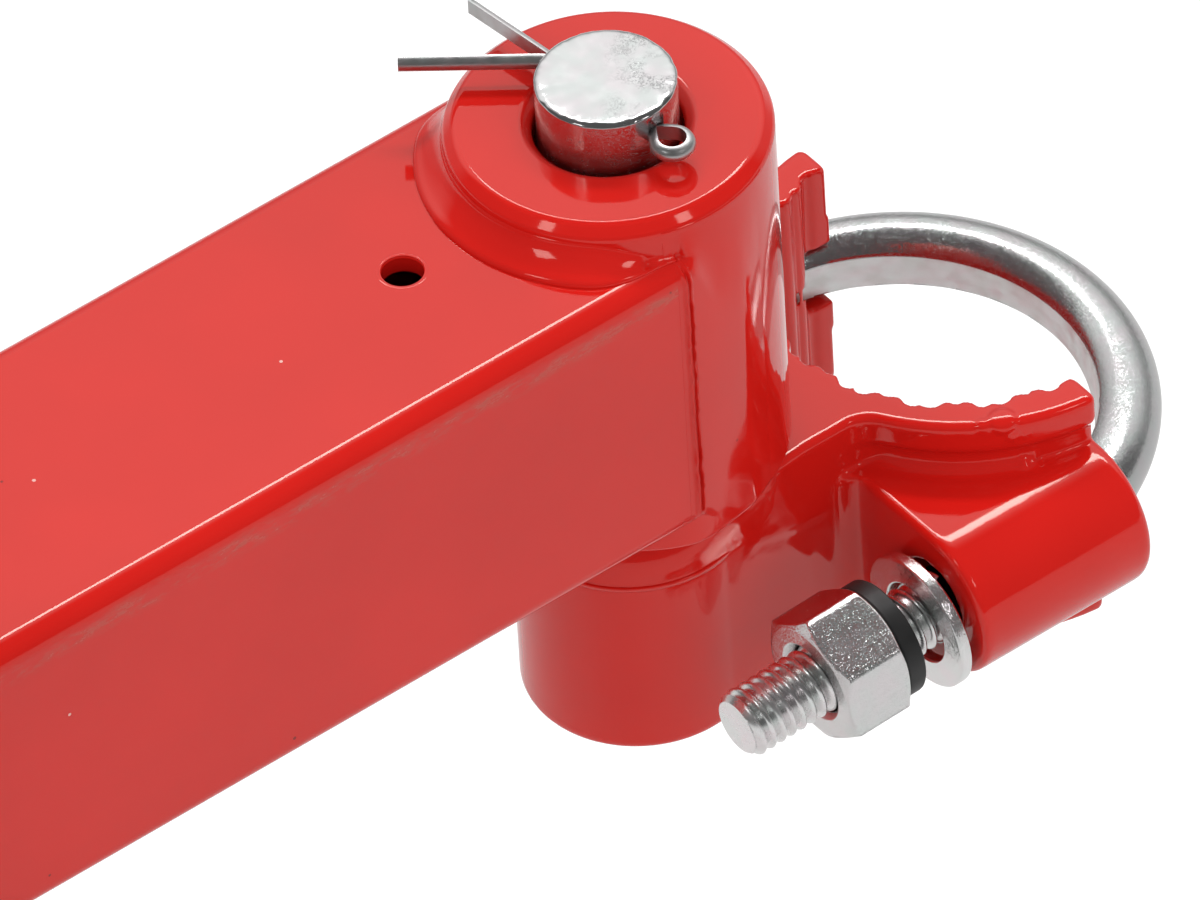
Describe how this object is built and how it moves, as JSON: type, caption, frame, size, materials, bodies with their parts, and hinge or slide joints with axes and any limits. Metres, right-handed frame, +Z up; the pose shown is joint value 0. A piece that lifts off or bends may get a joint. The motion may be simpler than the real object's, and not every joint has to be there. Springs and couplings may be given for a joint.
{
  "type": "swivel hoist arm with pole clamp",
  "caption": "Square-tube swivel arm of a hoist frame, turning on a pinned sleeve over a cast pole clamp with a toothed saddle and a U-bolt.",
  "frame": {"origin": "centre of the toothed saddle, on the axis of the pole, in the plane of the U-bolt", "axes": "+X out along the arm at rest, +Y towards the side with the split pin's eye, +Z up the pole"},
  "size_m": [0.5847, 0.091, 0.1146],
  "materials": {
    "red_paint": "glossy red powder coat",
    "zinc_plate": "bright zinc plate",
    "split_pin_steel": "plain drawn steel wire",
    "black_ring": "matte black"
  },
  "bodies": {
    "clamp": {"clamp_casting": "red_paint", "pivot_pin": "zinc_plate", "split_pin": "split_pin_steel", "u_bolt": "zinc_plate", "u_bolt_nut_near": "zinc_plate", "u_bolt_nut_far": "zinc_plate", "lock_ring_near": "black_ring", "lock_ring_far": "black_ring", "flat_washer_near": "zinc_plate", "flat_washer_far": "zinc_plate"},
    "arm": {"arm_tube": "red_paint", "pivot_sleeve": "red_paint", "sleeve_weld_top": "red_paint", "sleeve_weld_bottom": "red_paint", "sleeve_weld_near": "red_paint", "sleeve_weld_far": "red_paint", "arm_end_plate": "red_paint", "end_plate_weld": "red_paint"}
  },
  "joints": [
    {"name": "arm_swing", "type": "hinge", "parent": "clamp", "child": "arm", "pos_m": [0.0594, 0, 0.055], "axis": [0, 0, 1], "range_deg": [-110, 110]}
  ]
}
